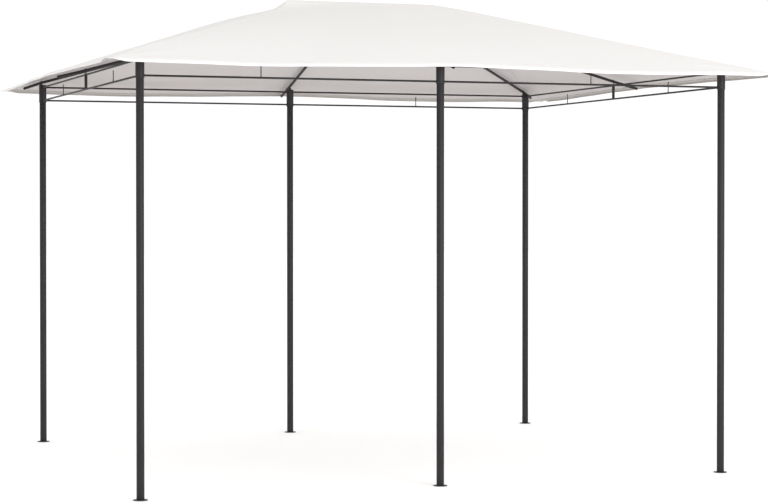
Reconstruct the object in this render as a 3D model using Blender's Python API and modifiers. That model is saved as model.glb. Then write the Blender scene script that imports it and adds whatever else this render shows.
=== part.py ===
# Garden gazebo: six slim round posts, double rails, eight rafters and a hipped fabric canopy.
# The long side runs along X, the open fronts face -Y and +Y, and the ground is at Z = 0.
# All sizes are in metres.

import math

import bmesh
import bpy
from mathutils import Vector

# Plan of the frame
POST_X = 1.540
POST_Y = 1.300
MIDDLE_X = -0.024

# Posts, feet and heads
POST_DIAMETER = 0.038
POST_WALL = 0.0012
FOOT_DIAMETER = 0.070
FOOT_THICKNESS = 0.003
HEAD_DIAMETER = 0.043
HEAD_CAP = 0.003
HEAD_CHAMFER = 0.002
HEAD_BELOW_RAIL = 0.012
HEAD_TOP_Z = 2.100
STUD_DIAMETER = 0.016
MIDDLE_STUD_TOP_Z = 2.1092

# Rails, pins and side struts
RAIL_DIAMETER = 0.010
LOWER_RAIL_Z = 2.009
UPPER_RAIL_Z = 2.086
PIN_DIAMETER = 0.005
PIN_TOP_Z = 2.069
PIN_X = (-0.947, 0.796)
PIN_Y = (-0.696, 0.647)
STRUT_DIAMETER = 0.016
STRUT_ABOVE_RAIL = 0.0025

# Rafters, hubs and ridge
RAFTER_DIAMETER = 0.016
RAFTER_WALL = 0.001
RAFTER_HUB_Z = 2.470
CORNER_RAFTER_Z = 2.1125
CORNER_RAFTER_ASIDE = 0.014
MIDDLE_RAFTER_Z = 2.121
SIDE_RAFTER_Z = 2.109
CORNER_TIP_LENGTH = 0.120
CORNER_TIP_Z = 2.082
MIDDLE_TIP_Y = 1.482
MIDDLE_TIP_Z = 2.069
SIDE_TIP_X = 1.690
SIDE_TIP_Z = 2.071
HUB_X = 0.200
HUB_DIAMETER = 0.070
HUB_HEIGHT = 0.040
RIDGE_BAR_DIAMETER = 0.025
RIDGE_BAR_WALL = 0.0012
RIDGE_BAR_HALF = 0.408

# Canopy
CANOPY_HALF_X = 1.750
CANOPY_HALF_Y = 1.510
RIDGE_HALF = 0.420
RIDGE_TOP_Z = 2.518
EAVE_CORNER_Z = 2.070
EAVE_LONG_MIDDLE_Z = 2.082
EAVE_SHORT_MIDDLE_Z = 2.088
EAVE_LONG_SAG = 0.012
SLOPE_SAG = 0.010
HEM_DROP = 0.012
CANOPY_THICKNESS = 0.002
CANOPY_CUTS = 11

# Clearance between neighbouring pieces, and the number of sides on round pieces
GAP = 0.0003
POST_SIDES = 24
ROD_SIDES = 12
RAFTER_BEVEL_RESOLUTION = 4
MERGE = 0.0001

# Finishes: colour, roughness, metallic
ANTHRACITE = ("powder_coated_steel", (0.048, 0.045, 0.047), 0.45, 0.3)
CREAM = ("coated_polyester", (0.86, 0.85, 0.82), 0.85, 0.0)


def clear_scene():
    """Remove whatever the scene holds."""
    for thing in list(bpy.data.objects):
        bpy.data.objects.remove(thing, do_unlink=True)


def new_collection(name):
    """Add a collection to the scene."""
    group = bpy.data.collections.new(name)
    bpy.context.scene.collection.children.link(group)
    return group


def move_to(thing, group):
    """Put an object in one collection only."""
    for old in list(thing.users_collection):
        old.objects.unlink(thing)
    group.objects.link(thing)


def paint(thing, finish):
    """Give an object its own material."""
    label, colour, roughness, metallic = finish
    material = bpy.data.materials.new(thing.name + "_" + label)
    material.use_nodes = True
    shader = material.node_tree.nodes["Principled BSDF"]
    shader.inputs["Base Color"].default_value = (*colour, 1.0)
    shader.inputs["Roughness"].default_value = roughness
    shader.inputs["Metallic"].default_value = metallic
    thing.data.materials.append(material)


def smooth(thing):
    """Shade a round piece smooth, with its real edges kept sharp."""
    thing.data.shade_smooth()
    thing.data.set_sharp_from_angle(angle=math.radians(40.0))


def add_cylinder(name, start, end, diameter, sides, capped=True):
    """Add a cylinder from one point to another."""
    start = Vector(start)
    run = Vector(end) - start
    bpy.ops.mesh.primitive_cylinder_add(
        vertices=sides,
        radius=diameter / 2.0,
        depth=run.length,
        end_fill_type="NGON" if capped else "NOTHING",
        location=start + run / 2.0,
        rotation=run.to_track_quat("Z", "Y").to_euler(),
    )
    cylinder = bpy.context.object
    cylinder.name = name
    smooth(cylinder)
    return cylinder


def add_wall(thing, thickness):
    """Give an open tube its wall, inwards from the surface."""
    wall = thing.modifiers.new("wall", "SOLIDIFY")
    wall.thickness = thickness
    wall.offset = -1.0
    wall.use_even_offset = True


def rod(name, start, end, diameter):
    """A solid round bar."""
    piece = add_cylinder(name, start, end, diameter, ROD_SIDES)
    move_to(piece, parts)
    paint(piece, ANTHRACITE)
    return piece


def tube(name, start, end, diameter, wall):
    """A round tube with open ends."""
    piece = add_cylinder(name, start, end, diameter, POST_SIDES, capped=False)
    add_wall(piece, wall)
    move_to(piece, parts)
    paint(piece, ANTHRACITE)
    return piece


def boolean(piece, other, operation):
    """Join a piece to another solid or cut it with one, which is kept as a guide."""
    move_to(other, cutters)
    other.hide_render = True
    other.display_type = "WIRE"
    modifier = piece.modifiers.new(operation.lower(), "BOOLEAN")
    modifier.operation = operation
    modifier.solver = "EXACT"
    modifier.object = other


def turned(name, profile, location):
    """Turn a profile of (radius, height) points about the upright axis."""
    mesh = bpy.data.meshes.new(name)
    points = [(radius, 0.0, height) for radius, height in profile]
    edges = [(index, index + 1) for index in range(len(points) - 1)]
    mesh.from_pydata(points, edges, [])
    piece = bpy.data.objects.new(name, mesh)
    piece.location = location
    parts.objects.link(piece)
    screw = piece.modifiers.new("turn", "SCREW")
    screw.axis = "Z"
    screw.angle = math.tau
    screw.steps = POST_SIDES
    screw.render_steps = POST_SIDES
    screw.use_merge_vertices = True
    screw.merge_threshold = MERGE
    screw.use_smooth_shade = False
    paint(piece, ANTHRACITE)
    return piece


def post_places():
    """Each post's name with its place in plan."""
    columns = (("left", -POST_X), ("middle", MIDDLE_X), ("right", POST_X))
    rows = (("front", -POST_Y), ("back", POST_Y))
    return [(row + "_" + column, x, y) for row, y in rows for column, x in columns]


def make_post(name, x, y):
    """The tube that stands on the foot disc and ends inside the head."""
    bottom = FOOT_THICKNESS + GAP
    top = HEAD_TOP_Z - HEAD_CAP - GAP
    tube("post_" + name, (x, y, bottom), (x, y, top), POST_DIAMETER, POST_WALL)


def make_foot(name, x, y):
    """The flat disc that spreads the post's load on the ground."""
    foot = add_cylinder("foot_" + name, (x, y, 0.0), (x, y, FOOT_THICKNESS), FOOT_DIAMETER, POST_SIDES)
    move_to(foot, parts)
    paint(foot, ANTHRACITE)


def make_head(name, x, y):
    """The sleeve over the post's top, closed above; a middle head carries its rafter on a stud."""
    outer = HEAD_DIAMETER / 2.0
    inner = POST_DIAMETER / 2.0 + GAP
    bottom = LOWER_RAIL_Z - HEAD_BELOW_RAIL
    profile = [
        (outer - HEAD_CHAMFER, HEAD_TOP_Z),
        (outer, HEAD_TOP_Z - HEAD_CHAMFER),
        (outer, bottom),
        (inner, bottom),
        (inner, HEAD_TOP_Z - HEAD_CAP),
        (0.0, HEAD_TOP_Z - HEAD_CAP),
    ]
    if name.endswith("middle"):
        stud = STUD_DIAMETER / 2.0
        profile = [(0.0, MIDDLE_STUD_TOP_Z), (stud, MIDDLE_STUD_TOP_Z), (stud, HEAD_TOP_Z)] + profile
    else:
        profile = [(0.0, HEAD_TOP_Z)] + profile
    turned("head_" + name, profile, (x, y, 0.0))


def make_long_rails():
    """Upper and lower rail in each bay of the front and back, with a pin on the lower one."""
    reach = HEAD_DIAMETER / 2.0 + GAP
    bays = (("left", -POST_X, MIDDLE_X), ("right", MIDDLE_X, POST_X))
    for row, y in (("front", -POST_Y), ("back", POST_Y)):
        for (side, x0, x1), pin_x in zip(bays, PIN_X):
            name = row + "_" + side
            start = x0 + reach
            end = x1 - reach
            rod("upper_rail_" + name, (start, y, UPPER_RAIL_Z), (end, y, UPPER_RAIL_Z), RAIL_DIAMETER)
            lower = rod("lower_rail_" + name, (start, y, LOWER_RAIL_Z), (end, y, LOWER_RAIL_Z), RAIL_DIAMETER)
            add_pin(lower, pin_x, y)


def make_short_rails():
    """Upper and lower rail of each short side, with two pins on the lower one."""
    reach = POST_Y - HEAD_DIAMETER / 2.0 - GAP
    for side, x in (("left", -POST_X), ("right", POST_X)):
        rod("upper_rail_" + side, (x, -reach, UPPER_RAIL_Z), (x, reach, UPPER_RAIL_Z), RAIL_DIAMETER)
        lower = rod("lower_rail_" + side, (x, -reach, LOWER_RAIL_Z), (x, reach, LOWER_RAIL_Z), RAIL_DIAMETER)
        for pin_y in PIN_Y:
            add_pin(lower, x, pin_y)


def add_pin(rail, x, y):
    """Weld an upright pin to a rail."""
    pin = add_cylinder("pin_guide", (x, y, LOWER_RAIL_Z), (x, y, PIN_TOP_Z), PIN_DIAMETER, ROD_SIDES)
    boolean(rail, pin, "UNION")


def make_struts():
    """The upright in the middle of each short side, drilled for the upper rail, with a pin to the rafter."""
    bottom = LOWER_RAIL_Z + RAIL_DIAMETER / 2.0 + GAP
    shoulder = UPPER_RAIL_Z + RAIL_DIAMETER / 2.0 + STRUT_ABOVE_RAIL
    lean = (SIDE_RAFTER_Z - SIDE_TIP_Z) / (SIDE_TIP_X - POST_X)
    top = SIDE_RAFTER_Z - RAFTER_DIAMETER / 2.0 * math.hypot(1.0, lean) - PIN_DIAMETER / 2.0 * lean - GAP
    profile = [
        (0.0, top),
        (PIN_DIAMETER / 2.0, top),
        (PIN_DIAMETER / 2.0, shoulder),
        (STRUT_DIAMETER / 2.0, shoulder),
        (STRUT_DIAMETER / 2.0, bottom),
        (0.0, bottom),
    ]
    for side, x in (("left", -POST_X), ("right", POST_X)):
        strut = turned("strut_" + side, profile, (x, 0.0, 0.0))
        hole = add_cylinder(
            "rail_hole_guide",
            (x, -STRUT_DIAMETER, UPPER_RAIL_Z),
            (x, STRUT_DIAMETER, UPPER_RAIL_Z),
            RAIL_DIAMETER + 2.0 * GAP,
            ROD_SIDES,
        )
        boolean(strut, hole, "DIFFERENCE")


def ridge_bar_z():
    """Height of the ridge bar's axis, which puts the canopy's ridge on the bar."""
    slope = (RIDGE_TOP_Z - EAVE_LONG_MIDDLE_Z) / CANOPY_HALF_Y
    return RIDGE_TOP_Z - (CANOPY_THICKNESS + RIDGE_BAR_DIAMETER / 2.0 + GAP) * math.hypot(1.0, slope)


def beside_hub(side, bend):
    """Where a rafter starts at the rim of the left (-1) or right (1) hub, on the way to its bend."""
    hub = Vector((side * HUB_X, 0.0, RAFTER_HUB_Z))
    run = bend - hub
    flat = Vector((run.x, run.y, 0.0))
    fall = abs(run.z) / flat.length
    return hub + flat.normalized() * (HUB_DIAMETER / 2.0 + GAP + RAFTER_DIAMETER / 2.0 * fall)


def beside_ridge_bar(bend):
    """Where a middle rafter starts at the side of the ridge bar, on the way to its bend."""
    bar = Vector((MIDDLE_X, 0.0, ridge_bar_z()))
    return bar + (bend - bar).normalized() * (RIDGE_BAR_DIAMETER / 2.0 + GAP)


def make_rafter(name, start, bend, tip):
    """A tube from the ridge over its support at the bend to its tip past the rails."""
    curve = bpy.data.curves.new(name, "CURVE")
    curve.dimensions = "3D"
    curve.bevel_depth = RAFTER_DIAMETER / 2.0
    curve.bevel_resolution = RAFTER_BEVEL_RESOLUTION
    curve.use_fill_caps = False
    spline = curve.splines.new("POLY")
    spline.points.add(2)
    for point, place in zip(spline.points, (start, bend, tip)):
        point.co = (*place, 1.0)
    piece = bpy.data.objects.new(name, curve)
    parts.objects.link(piece)
    add_wall(piece, RAFTER_WALL)
    paint(piece, ANTHRACITE)


def make_corner_rafter(row, side, sign_x, sign_y):
    """A rafter to a corner post; it crosses the head a little beside the middle, to make room there."""
    hub = Vector((sign_x * HUB_X, 0.0, 0.0))
    post = Vector((sign_x * POST_X, sign_y * POST_Y, 0.0))
    outward = (post - hub).normalized()
    aside = Vector((-outward.y, outward.x, 0.0))
    foot = post + aside * CORNER_RAFTER_ASIDE
    bend = foot + Vector((0.0, 0.0, CORNER_RAFTER_Z))
    tip = foot + outward * CORNER_TIP_LENGTH + Vector((0.0, 0.0, CORNER_TIP_Z))
    make_rafter("rafter_" + row + "_" + side, beside_hub(sign_x, bend), bend, tip)


def make_rafters():
    """Four rafters to the corners, two to the middle posts and two to the side struts."""
    for side, sign_x in (("left", -1.0), ("right", 1.0)):
        bend = Vector((sign_x * POST_X, 0.0, SIDE_RAFTER_Z))
        tip = Vector((sign_x * SIDE_TIP_X, 0.0, SIDE_TIP_Z))
        make_rafter("rafter_" + side, beside_hub(sign_x, bend), bend, tip)
    for row, sign_y in (("front", -1.0), ("back", 1.0)):
        bend = Vector((MIDDLE_X, sign_y * POST_Y, MIDDLE_RAFTER_Z))
        tip = Vector((MIDDLE_X, sign_y * MIDDLE_TIP_Y, MIDDLE_TIP_Z))
        make_rafter("rafter_" + row + "_middle", beside_ridge_bar(bend), bend, tip)
        for side, sign_x in (("left", -1.0), ("right", 1.0)):
            make_corner_rafter(row, side, sign_x, sign_y)


def make_ridge():
    """The ridge bar and the two hubs that it lies on."""
    bar_z = ridge_bar_z()
    hub_top = bar_z - RIDGE_BAR_DIAMETER / 2.0 - GAP
    radius = HUB_DIAMETER / 2.0
    profile = [
        (0.0, hub_top),
        (radius - HEAD_CHAMFER, hub_top),
        (radius, hub_top - HEAD_CHAMFER),
        (radius, hub_top - HUB_HEIGHT),
        (0.0, hub_top - HUB_HEIGHT),
    ]
    for side, sign_x in (("left", -1.0), ("right", 1.0)):
        turned("hub_" + side, profile, (sign_x * HUB_X, 0.0, 0.0))
    tube(
        "ridge_bar",
        (-RIDGE_BAR_HALF, 0.0, bar_z),
        (RIDGE_BAR_HALF, 0.0, bar_z),
        RIDGE_BAR_DIAMETER,
        RIDGE_BAR_WALL,
    )


def eave_height(share, middle_z, sag):
    """Height of the canopy's edge at a share (-1 to 1) of the way from its middle to a corner."""
    way = abs(share)
    straight = middle_z + (EAVE_CORNER_Z - middle_z) * way
    return straight - sag * math.sin(math.pi * way) ** 2


def canopy_height(x, y):
    """Height of the canopy's top: two long slopes, two end slopes, and a light sag in the long ones."""
    long_share = abs(y) / CANOPY_HALF_Y
    end_share = (abs(x) - RIDGE_HALF) / (CANOPY_HALF_X - RIDGE_HALF)
    if long_share >= end_share:
        half = RIDGE_HALF + (CANOPY_HALF_X - RIDGE_HALF) * long_share
        across = x / half
        edge = eave_height(across, EAVE_LONG_MIDDLE_Z, EAVE_LONG_SAG)
        belly = SLOPE_SAG * math.sin(math.pi * long_share) * math.sin(math.pi * across) ** 2
        return RIDGE_TOP_Z + (edge - RIDGE_TOP_Z) * long_share - belly
    across = y / (CANOPY_HALF_Y * end_share)
    edge = eave_height(across, EAVE_SHORT_MIDDLE_Z, 0.0)
    return RIDGE_TOP_Z + (edge - RIDGE_TOP_Z) * end_share


def make_canopy():
    """One hipped sheet with a turned-down hem, from a cage of two long and two end slopes."""
    form = bmesh.new()
    corners = [
        form.verts.new((sx * CANOPY_HALF_X, sy * CANOPY_HALF_Y, 0.0))
        for sx, sy in ((-1.0, -1.0), (1.0, -1.0), (1.0, 1.0), (-1.0, 1.0))
    ]
    ridge = [form.verts.new((sign * RIDGE_HALF, 0.0, 0.0)) for sign in (-1.0, 1.0)]
    form.faces.new((corners[0], corners[1], ridge[1], ridge[0]))
    form.faces.new((corners[1], corners[2], ridge[1]))
    form.faces.new((corners[2], corners[3], ridge[0], ridge[1]))
    form.faces.new((corners[3], corners[0], ridge[0]))
    bmesh.ops.subdivide_edges(form, edges=form.edges[:], cuts=CANOPY_CUTS, use_grid_fill=True)
    for vertex in form.verts:
        vertex.co.z = canopy_height(vertex.co.x, vertex.co.y)
    rim = [edge for edge in form.edges if edge.is_boundary]
    hem = bmesh.ops.extrude_edge_only(form, edges=rim)["geom"]
    for vertex in hem:
        if isinstance(vertex, bmesh.types.BMVert):
            vertex.co.z -= HEM_DROP
    bmesh.ops.recalc_face_normals(form, faces=form.faces[:])
    mesh = bpy.data.meshes.new("canopy")
    form.to_mesh(mesh)
    form.free()
    canopy = bpy.data.objects.new("canopy", mesh)
    parts.objects.link(canopy)
    add_wall(canopy, CANOPY_THICKNESS)
    paint(canopy, CREAM)


clear_scene()
parts = new_collection("garden_gazebo")
cutters = new_collection("cutters")
for place in post_places():
    make_foot(*place)
    make_post(*place)
    make_head(*place)
make_long_rails()
make_short_rails()
make_struts()
make_rafters()
make_ridge()
make_canopy()
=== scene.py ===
# %% [markdown]
# # A garden gazebo with a cloth roof
# Six slim steel posts carry a ring of double rails, eight thin rafters and one hipped sheet of
# coated polyester. The steel frame arrives as fixed solids at their real sizes. Here each of them
# gets a finely made skin in the same place, and the cloth gets its folds, hem, seams and stitches.
# Everything is in metres, the long side runs along X, the ground is at Z = 0.

import math

import bmesh
import bpy
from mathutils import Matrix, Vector, noise


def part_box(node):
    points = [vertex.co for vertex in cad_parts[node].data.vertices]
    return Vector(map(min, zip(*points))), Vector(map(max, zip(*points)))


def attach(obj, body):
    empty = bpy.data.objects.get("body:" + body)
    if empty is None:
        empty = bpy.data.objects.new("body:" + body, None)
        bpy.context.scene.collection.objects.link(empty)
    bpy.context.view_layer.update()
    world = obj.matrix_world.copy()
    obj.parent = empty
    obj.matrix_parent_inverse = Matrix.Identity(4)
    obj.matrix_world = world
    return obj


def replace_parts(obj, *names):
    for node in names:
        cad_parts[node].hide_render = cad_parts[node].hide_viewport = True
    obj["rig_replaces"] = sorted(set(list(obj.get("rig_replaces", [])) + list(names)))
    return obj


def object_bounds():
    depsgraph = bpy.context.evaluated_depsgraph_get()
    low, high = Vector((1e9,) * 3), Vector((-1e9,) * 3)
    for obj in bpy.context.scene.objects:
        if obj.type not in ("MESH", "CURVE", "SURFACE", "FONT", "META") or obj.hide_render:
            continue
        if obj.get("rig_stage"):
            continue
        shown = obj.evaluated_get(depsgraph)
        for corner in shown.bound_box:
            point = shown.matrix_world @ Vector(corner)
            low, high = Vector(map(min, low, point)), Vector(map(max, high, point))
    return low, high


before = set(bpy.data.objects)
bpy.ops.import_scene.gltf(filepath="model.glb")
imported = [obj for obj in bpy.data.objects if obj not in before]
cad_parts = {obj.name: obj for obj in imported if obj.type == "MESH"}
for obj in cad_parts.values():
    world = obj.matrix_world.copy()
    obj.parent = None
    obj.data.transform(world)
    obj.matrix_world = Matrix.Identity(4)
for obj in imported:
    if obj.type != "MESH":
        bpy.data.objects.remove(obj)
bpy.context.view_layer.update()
print("nodes:", len(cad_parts))

# %% [markdown]
# ## The camera
# The photograph was taken with a long lens from below the eaves, so the upright posts stay upright
# and the roof is seen almost edge-on. The picture is a crop of a larger one: its optical centre
# isn't its middle, and a small shift of the lens puts it back.

# %% Set up the camera
CAMERA_PLACE = (-3.7222, -11.0664, 1.4060)
CAMERA_TURN = math.radians(-19.65)
CAMERA_TILT = math.radians(90.0 - 0.72)
PHOTO_WIDTH = 768
PHOTO_HEIGHT = 502
FOCAL_PIXELS = 2102.9
OPTICAL_CENTRE = (400.3, 229.5)
SENSOR = 36.0

bpy.ops.object.camera_add(location=CAMERA_PLACE, rotation=(CAMERA_TILT, 0.0, CAMERA_TURN))
camera = bpy.context.object
camera.name = "photo_camera"
camera.data.sensor_width = SENSOR
camera.data.lens = FOCAL_PIXELS / PHOTO_WIDTH * SENSOR
camera.data.shift_x = (PHOTO_WIDTH / 2 - OPTICAL_CENTRE[0]) / PHOTO_WIDTH
camera.data.shift_y = (OPTICAL_CENTRE[1] - PHOTO_HEIGHT / 2) / PHOTO_WIDTH
bpy.context.scene.camera = camera
print("lens in mm:", round(camera.data.lens, 1))

# %% [markdown]
# ## Colours and nodes
# A maker's colour card gives a finish as a hex value in sRGB, and a shader wants it linear. One
# function turns one into the other, and one more adds a node with its settings, values and links. A
# link names the output that feeds a socket, or a node where it is that node's first output.

# %% Helpers for every finish
def linear(hex_colour):
    """A hex colour as the linear red, green, blue and alpha that a shader works with."""
    channels = [int(hex_colour[i:i + 2], 16) / 255 for i in (0, 2, 4)]
    return (*[c / 12.92 if c <= 0.04045 else ((c + 0.055) / 1.055) ** 2.4 for c in channels], 1.0)


def add_node(tree, kind, values=None, links=None, **settings):
    """Add a node, set it up, fill its sockets and join them to the outputs that feed them."""
    node = tree.nodes.new("ShaderNode" + kind)
    for name, value in settings.items():
        setattr(node, name, value)
    for socket, value in (values or {}).items():
        node.inputs[socket].default_value = value
    for socket, source in (links or {}).items():
        tree.links.new(getattr(source, "outputs", [source])[0], node.inputs[socket])
    return node


def new_finish(name):
    """An empty material with its node tree."""
    material = bpy.data.materials.new(name)
    material.use_nodes = True
    material.node_tree.nodes.clear()
    return material, material.node_tree


# %% [markdown]
# ## Floor and light
# A product picture like this one is lit by a big soft box over a white floor that is lit from
# below, so that no shadow shows on it. The world is an even pale light from all round, one large
# lamp in front gives the posts their lighter middle and darker edges, and the floor is plain and
# white with a slight glow of its own, so that it throws light up under the roof.

# %% Floor, world and lamp
FLOOR_SIZE = 90.0
FLOOR_COLOUR = "fcfcfb"
FLOOR_GLOW = 0.12
SKY_STRENGTH = 1.06
KEY_PLACE = (2.5, -9.0, 2.0)
KEY_AIM = (0.0, 0.0, 1.3)
KEY_SIZE = 3.2
KEY_POWER = 330.0

bpy.ops.mesh.primitive_plane_add(size=FLOOR_SIZE)
floor = bpy.context.object
floor.name = "studio_floor"
floor_finish, tree = new_finish("pale studio floor")
floor_shader = add_node(
    tree,
    "BsdfPrincipled",
    {
        "Base Color": linear(FLOOR_COLOUR),
        "Roughness": 0.9,
        "Specular IOR Level": 0.1,
        "Emission Color": linear(FLOOR_COLOUR),
        "Emission Strength": FLOOR_GLOW,
    },
)
add_node(tree, "OutputMaterial", links={"Surface": floor_shader})
floor.data.materials.append(floor_finish)
floor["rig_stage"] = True

world = bpy.data.worlds.new("even sky")
world.use_nodes = True
background = world.node_tree.nodes["Background"]
background.inputs["Color"].default_value = (1.0, 1.0, 1.0, 1.0)
background.inputs["Strength"].default_value = SKY_STRENGTH
bpy.context.scene.world = world
bpy.context.scene.view_settings.view_transform = "Standard"

turn = (Vector(KEY_AIM) - Vector(KEY_PLACE)).to_track_quat("-Z", "Y").to_euler()
bpy.ops.object.light_add(type="AREA", location=KEY_PLACE, rotation=turn)
lamp = bpy.context.object
lamp.name = "key_box"
lamp.data.size = KEY_SIZE
lamp.data.energy = KEY_POWER
print("floor, world and one lamp")

# %% [markdown]
# ## Powder-coated steel
# The tubes are steel with a baked powder coat in a warm anthracite. A powder coat is a plastic
# skin: not a bare metal but a dull dielectric with an IOR of about 1.5, a satin gloss and a fine
# orange peel. Orange peel has a grain of about 1.5 mm and a depth of some hundredths of a millimetre.

# %% Make the powder coat
PEEL_GRAIN = 0.0015
PEEL_DEPTH = 0.00003
SHADE_PATCH = 0.12
GLOSS_DRIFT = (-0.05, 0.07)
DULL_GLEAM = 0.2


def satin_skin(name, pale, dark, roughness, grain, metallic=0.0):
    """A satin skin with a fine grain, patchy gloss and a slight unevenness of shade."""
    material, tree = new_finish(name)
    place = add_node(tree, "TexCoord").outputs["Object"]
    patches = add_node(tree, "TexNoise", {"Scale": 1 / SHADE_PATCH, "Detail": 3.0}, {"Vector": place})
    shade = add_node(
        tree, "Mix", {6: linear(dark), 7: linear(pale)}, {0: patches}, data_type="RGBA"
    )
    gloss = add_node(
        tree,
        "MapRange",
        {"To Min": roughness + GLOSS_DRIFT[0], "To Max": roughness + GLOSS_DRIFT[1]},
        {"Value": patches},
    )
    peel = add_node(tree, "TexNoise", {"Scale": 1 / grain, "Detail": 2.0}, {"Vector": place})
    bump = add_node(tree, "Bump", {"Strength": 1.0, "Distance": PEEL_DEPTH}, {"Height": peel})
    shader = add_node(
        tree,
        "BsdfPrincipled",
        {"Metallic": metallic, "IOR": 1.5, "Specular IOR Level": DULL_GLEAM},
        {"Base Color": shade.outputs[2], "Roughness": gloss, "Normal": bump},
    )
    add_node(tree, "OutputMaterial", links={"Surface": shader})
    return material


steel = satin_skin("powder-coated steel", "2e2b2d", "272527", 0.48, PEEL_GRAIN)
print("finish:", steel.name)

# %% [markdown]
# ## Modelling by hand, in code
# Every steel piece below is made the way a person makes it in the window: a primitive is added at
# its real size and place, a few edges or faces are picked, and one tool works on them. The picking
# is done by a small test, such as "is this edge sharp" or "does this face look up". An operator
# works on all that is selected, so nothing else is ever selected while one works.

# %% Helpers that pick, edit and finish
UP = Vector((0.0, 0.0, 1.0))


def pick(*things):
    """Select these objects alone and make the first one active."""
    bpy.ops.object.select_all(action="DESELECT")
    for thing in things:
        thing.select_set(True)
    bpy.context.view_layer.objects.active = things[0]


def settle(thing):
    """Put an object's place, turn and size into its mesh."""
    pick(thing)
    bpy.ops.object.transform_apply(location=True, rotation=True, scale=True)


def apply_all(thing):
    """Apply every modifier, from the top of the stack down."""
    pick(thing)
    for modifier in list(thing.modifiers):
        bpy.ops.object.modifier_apply(modifier=modifier.name)


def choose(thing, parts, test):
    """In edit mode, select only the faces or edges that pass a test."""
    form = bmesh.from_edit_mesh(thing.data)
    for part in (*form.faces, *form.edges, *form.verts):
        part.select_set(False)
    for part in getattr(form, parts):
        if test(part):
            part.select_set(True)
    bmesh.update_edit_mesh(thing.data)


def open_up(thing, kind="EDGE", test=None):
    """Go into edit mode, with all selected, or only the faces or edges that pass a test."""
    pick(thing)
    bpy.ops.object.mode_set(mode="EDIT")
    bpy.ops.mesh.select_mode(type=kind)
    bpy.ops.mesh.select_all(action="SELECT")
    if test:
        choose(thing, {"FACE": "faces", "EDGE": "edges"}[kind], test)


def shut():
    """Go back to object mode."""
    bpy.ops.object.mode_set(mode="OBJECT")


def soften(thing, angle=40.0):
    """Shade round faces smooth and keep real edges sharp."""
    pick(thing)
    bpy.ops.object.shade_smooth_by_angle(angle=math.radians(angle))


def sharp(edge):
    """Whether two faces meet at an edge under more than 50 degrees."""
    return len(edge.link_faces) == 2 and edge.calc_face_angle() > math.radians(50.0)


def sharp_past(place, axis):
    """A test for sharp edges that lie past a place along an axis, such as a bar's upper rim."""
    return lambda edge: sharp(edge) and (edge.verts[0].co - place).dot(axis) > 0


def is_cap(face, axis=UP):
    """Whether a face is the flat cap at a bar's end that looks along an axis."""
    return face.normal.dot(axis) > 0.99 and len(face.verts) > 4


def round_edges(thing, width, segments=3, test=sharp):
    """Round off the edges that pass a test."""
    open_up(thing, "EDGE", test)
    bpy.ops.mesh.bevel(offset=width, segments=segments, affect="EDGES")
    shut()


def join(name, pieces):
    """Make one object of several, under one name."""
    pick(*pieces)
    if len(pieces) > 1:
        bpy.ops.object.join()
    pieces[0].name = name
    return pieces[0]


def copy_to(thing, name, shift):
    """A copy with its own mesh, moved by a shift."""
    pick(thing)
    bpy.ops.object.duplicate()
    twin = bpy.context.object
    twin.name = name
    bpy.ops.transform.translate(value=shift)
    settle(twin)
    return twin


# %% [markdown]
# ## Round bars, tubes and weld beads
# Almost all of a gazebo is round bar and round tube, joined by welding. A bar is a cylinder between
# two points with its end rims rounded. A tube is an open cylinder that Solidify gives a wall to. A
# weld bead is a small ring of metal that flowed into the corner: a torus whose skin is rippled,
# because the welder lays it drop by drop.

# %% Bars, tubes and beads
ROUND_SIDES = 48
RING_SIDES = {"major_segments": 42, "minor_segments": 8}
BALL_SIDES = {"segments": 12, "ring_count": 16}
BEAD_RIPPLE = 0.00018
BEAD_DROPS = 14
RUN_DROP = 2.2


def add_round(operator, name, place, axis, **settings):
    """Add a round primitive at a place and along an axis, and put both into its mesh."""
    bpy.ops.object.select_all(action="DESELECT")
    operator(location=place, rotation=axis.to_track_quat("Z", "Y").to_euler(), **settings)
    thing = bpy.context.object
    thing.name = name
    settle(thing)
    return thing


def add_bar(name, start, end, radius, sides=24, ends="NGON"):
    """A cylinder from one point to another."""
    start = Vector(start)
    run = Vector(end) - start
    size = {"vertices": sides, "radius": radius, "depth": run.length, "end_fill_type": ends}
    return add_round(bpy.ops.mesh.primitive_cylinder_add, name, start + run / 2, run, **size)


def add_wall(thing, thickness):
    """Give an open shell its wall, inwards from its skin."""
    wall = thing.modifiers.new("wall", "SOLIDIFY")
    wall.thickness = thickness
    wall.offset = -1.0
    wall.use_even_offset = True
    apply_all(thing)


def add_tube(name, start, end, radius, wall, sides=ROUND_SIDES):
    """An open cylinder with a wall inwards and its rims eased."""
    tube = add_bar(name, start, end, radius, sides, "NOTHING")
    add_wall(tube, wall)
    round_edges(tube, wall / 4, 2)
    return tube


def add_bead(place, axis, around, size):
    """A weld bead round a bar: a ring with the ripple of its drops."""
    axis = Vector(axis).normalized()
    place = Vector(place)
    side = axis.orthogonal().normalized()
    radii = {"major_radius": around, "minor_radius": size}
    bead = add_round(bpy.ops.mesh.primitive_torus_add, "bead", place, axis, **radii, **RING_SIDES)
    for point in bead.data.vertices:
        out = point.co - place
        out -= axis * out.dot(axis)
        turn = math.atan2(out.dot(axis.cross(side)), out.dot(side))
        point.co += point.normal * BEAD_RIPPLE * math.sin(BEAD_DROPS * turn)
    return bead


def add_run(start, end, size):
    """A straight weld bead between two points: a stretched ball with the ripple of its drops."""
    start = Vector(start)
    run = Vector(end) - start
    ball = {"radius": 1.0, "scale": (size, size, run.length / 2), **BALL_SIDES}
    bead = add_round(bpy.ops.mesh.primitive_uv_sphere_add, "bead", start + run / 2, run, **ball)
    for point in bead.data.vertices:
        along = (point.co - start).dot(run.normalized())
        point.co += point.normal * BEAD_RIPPLE * math.sin(math.tau * along / (RUN_DROP * size))
    return bead


dressed = []


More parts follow.
